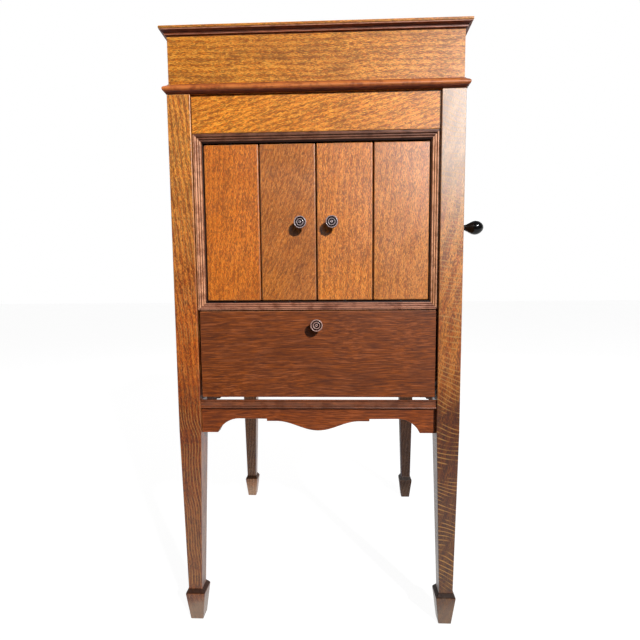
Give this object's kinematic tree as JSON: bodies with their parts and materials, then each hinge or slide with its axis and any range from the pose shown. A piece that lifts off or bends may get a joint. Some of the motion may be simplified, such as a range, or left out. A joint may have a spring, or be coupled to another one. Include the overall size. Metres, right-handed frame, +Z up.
{
  "type": "gramophone cabinet",
  "caption": "Floor-standing oak gramophone on tapered legs, with hinged lid, pivoting tone louvres, drop-front record flap and side winding crank.",
  "frame": {"origin": "middle of the bounding box at floor level", "axes": "+Z up, +Y from the front to the back, +X to the viewer's right, where the crank is"},
  "size_m": [0.584, 0.518, 0.989],
  "materials": {
    "oak": "golden brown varnished oak",
    "dark_oak": "dark varnished oak",
    "red_oak": "red-brown varnished oak",
    "leaf_oak": "orange-brown varnished oak",
    "knob_wood": "dark polished turned wood",
    "plain_wood": "plain unpolished wood",
    "brass": "aged brass",
    "nickel": "worn nickel plate",
    "steel": "bright steel",
    "iron": "dark painted casting",
    "ebony": "black glossy lacquer",
    "felt": "green wool felt"
  },
  "bodies": {
    "cabinet": {"leg_front_left": "oak", "leg_front_right": "oak", "leg_rear_left": "oak", "leg_rear_right": "oak", "frieze_rail": "oak", "front_rail": "dark_oak", "front_apron": "dark_oak", "louvre_frame_head": "dark_oak", "louvre_frame_sill": "dark_oak", "louvre_frame_jamb_left": "dark_oak", "louvre_frame_jamb_right": "dark_oak", "side_panel_left": "oak", "side_panel_right": "oak", "side_apron_left": "dark_oak", "side_apron_right": "dark_oak", "back_panel": "oak", "motor_board": "dark_oak", "horn": "plain_wood", "compartment_top": "plain_wood", "compartment_floor": "plain_wood", "motor_frame": "iron", "crank_escutcheon": "brass", "needle_tray": "nickel", "tonearm_base": "nickel", "case_hinge_leaf": "brass", "lid_stay_guide": "brass", "flap_pin_left": "steel", "flap_pin_right": "steel"},
    "lid": {"lid_top": "oak", "lid_front": "oak", "lid_back": "oak", "lid_side_left": "oak", "lid_side_right": "oak", "lid_bead": "dark_oak", "lid_hinge_leaf": "brass", "lid_stay": "brass"},
    "inner_left": {"louvre_inner_left": "leaf_oak", "louvre_knob_left": "knob_wood"},
    "inner_right": {"louvre_inner_right": "leaf_oak", "louvre_knob_right": "knob_wood"},
    "outer_left": {"louvre_outer_left": "leaf_oak"},
    "outer_right": {"louvre_outer_right": "leaf_oak"},
    "link_left": {"louvre_link_left": "brass"},
    "link_right": {"louvre_link_right": "brass"},
    "flap": {"record_flap": "red_oak", "flap_knob": "knob_wood"},
    "platter": {"turntable": "nickel", "turntable_felt": "felt", "turntable_spindle": "steel"},
    "barrel": {"spring_barrel": "steel"},
    "winder": {"winding_wheel": "steel"},
    "governor_rotor": {"governor": "steel"},
    "crank": {"winding_shaft": "steel", "crank_rod": "nickel"},
    "grip": {"crank_grip": "ebony"},
    "arm": {"tonearm": "nickel"},
    "reproducer": {"soundbox": "nickel", "needle_bar": "steel"},
    "brake": {"brake_lever": "nickel"},
    "speed": {"speed_lever": "nickel"}
  },
  "joints": [
    {"name": "lid_hinge", "type": "hinge", "parent": "cabinet", "child": "lid", "pos_m": [-0.05, 0.2571, 0.8897], "axis": [-1, 0, 0], "range_deg": [0, 65]},
    {"name": "inner_left_turn", "type": "hinge", "parent": "cabinet", "child": "inner_left", "pos_m": [-0.0962, -0.228, 0.69], "axis": [0, 0, -1], "range_deg": [0, 80]},
    {"name": "outer_left_turn", "type": "hinge", "parent": "cabinet", "child": "outer_left", "pos_m": [-0.188, -0.228, 0.69], "axis": [0, 0, -1], "range_deg": [0, 80]},
    {"name": "link_left_turn", "type": "hinge", "parent": "inner_left", "child": "link_left", "pos_m": [-0.1044, -0.2183, 0.8204], "axis": [0, 0, -1], "range_deg": [-80, 0]},
    {"name": "inner_right_turn", "type": "hinge", "parent": "cabinet", "child": "inner_right", "pos_m": [-0.0038, -0.228, 0.69], "axis": [0, 0, 1], "range_deg": [0, 80]},
    {"name": "outer_right_turn", "type": "hinge", "parent": "cabinet", "child": "outer_right", "pos_m": [0.088, -0.228, 0.69], "axis": [0, 0, 1], "range_deg": [0, 80]},
    {"name": "link_right_turn", "type": "hinge", "parent": "inner_right", "child": "link_right", "pos_m": [0.0044, -0.2183, 0.8204], "axis": [0, 0, 1], "range_deg": [-80, 0]},
    {"name": "flap_drop", "type": "hinge", "parent": "cabinet", "child": "flap", "pos_m": [-0.05, -0.231, 0.4165], "axis": [1, 0, 0], "range_deg": [0, 90]},
    {"name": "turntable_spin", "type": "hinge", "parent": "cabinet", "child": "platter", "pos_m": [-0.05, -0.037, 0.89], "axis": [0, 0, 1], "continuous": true},
    {"name": "barrel_spin", "type": "hinge", "parent": "cabinet", "child": "barrel", "pos_m": [-0.00548, -0.00583, 0.78], "axis": [0, 0, 1], "continuous": true},
    {"name": "governor_spin", "type": "hinge", "parent": "cabinet", "child": "governor_rotor", "pos_m": [-0.0796, -0.025, 0.835], "axis": [0, 1, 0], "continuous": true},
    {"name": "crank_turn", "type": "hinge", "parent": "cabinet", "child": "crank", "pos_m": [0.185, -0.00583, 0.818], "axis": [1, 0, 0], "continuous": true},
    {"name": "winding_wheel_turn", "type": "hinge", "parent": "cabinet", "child": "winder", "pos_m": [-0.00548, -0.00583, 0.804], "axis": [0, 0, 1], "continuous": true},
    {"name": "grip_spin", "type": "hinge", "parent": "crank", "child": "grip", "pos_m": [0.27, -0.00583, 0.7128], "axis": [1, 0, 0], "continuous": true},
    {"name": "tonearm_swing", "type": "hinge", "parent": "cabinet", "child": "arm", "pos_m": [0.045, 0.18, 0.893], "axis": [0, 0, 1], "range_deg": [-28, 1]},
    {"name": "soundbox_turn", "type": "hinge", "parent": "arm", "child": "reproducer", "pos_m": [0.14643, -0.03751, 0.928], "axis": [-0.9063, -0.4226, 0], "range_deg": [0, 90]},
    {"name": "brake_swing", "type": "hinge", "parent": "cabinet", "child": "brake", "pos_m": [-0.208, -0.153, 0.888], "axis": [0, 0, 1], "range_deg": [0, 20]},
    {"name": "speed_swing", "type": "hinge", "parent": "cabinet", "child": "speed", "pos_m": [0.1, -0.179, 0.888], "axis": [0, 0, 1], "range_deg": [-25, 25]}
  ],
  "couplings": [
    {"joint": "outer_left_turn", "follows": "inner_left_turn", "ratio": 1},
    {"joint": "link_left_turn", "follows": "inner_left_turn", "ratio": -1},
    {"joint": "outer_right_turn", "follows": "inner_right_turn", "ratio": 1},
    {"joint": "link_right_turn", "follows": "inner_right_turn", "ratio": -1},
    {"joint": "barrel_spin", "follows": "turntable_spin", "ratio": -0.125},
    {"joint": "governor_spin", "follows": "turntable_spin", "ratio": 12},
    {"joint": "winding_wheel_turn", "follows": "crank_turn", "ratio": 0.33333}
  ]
}
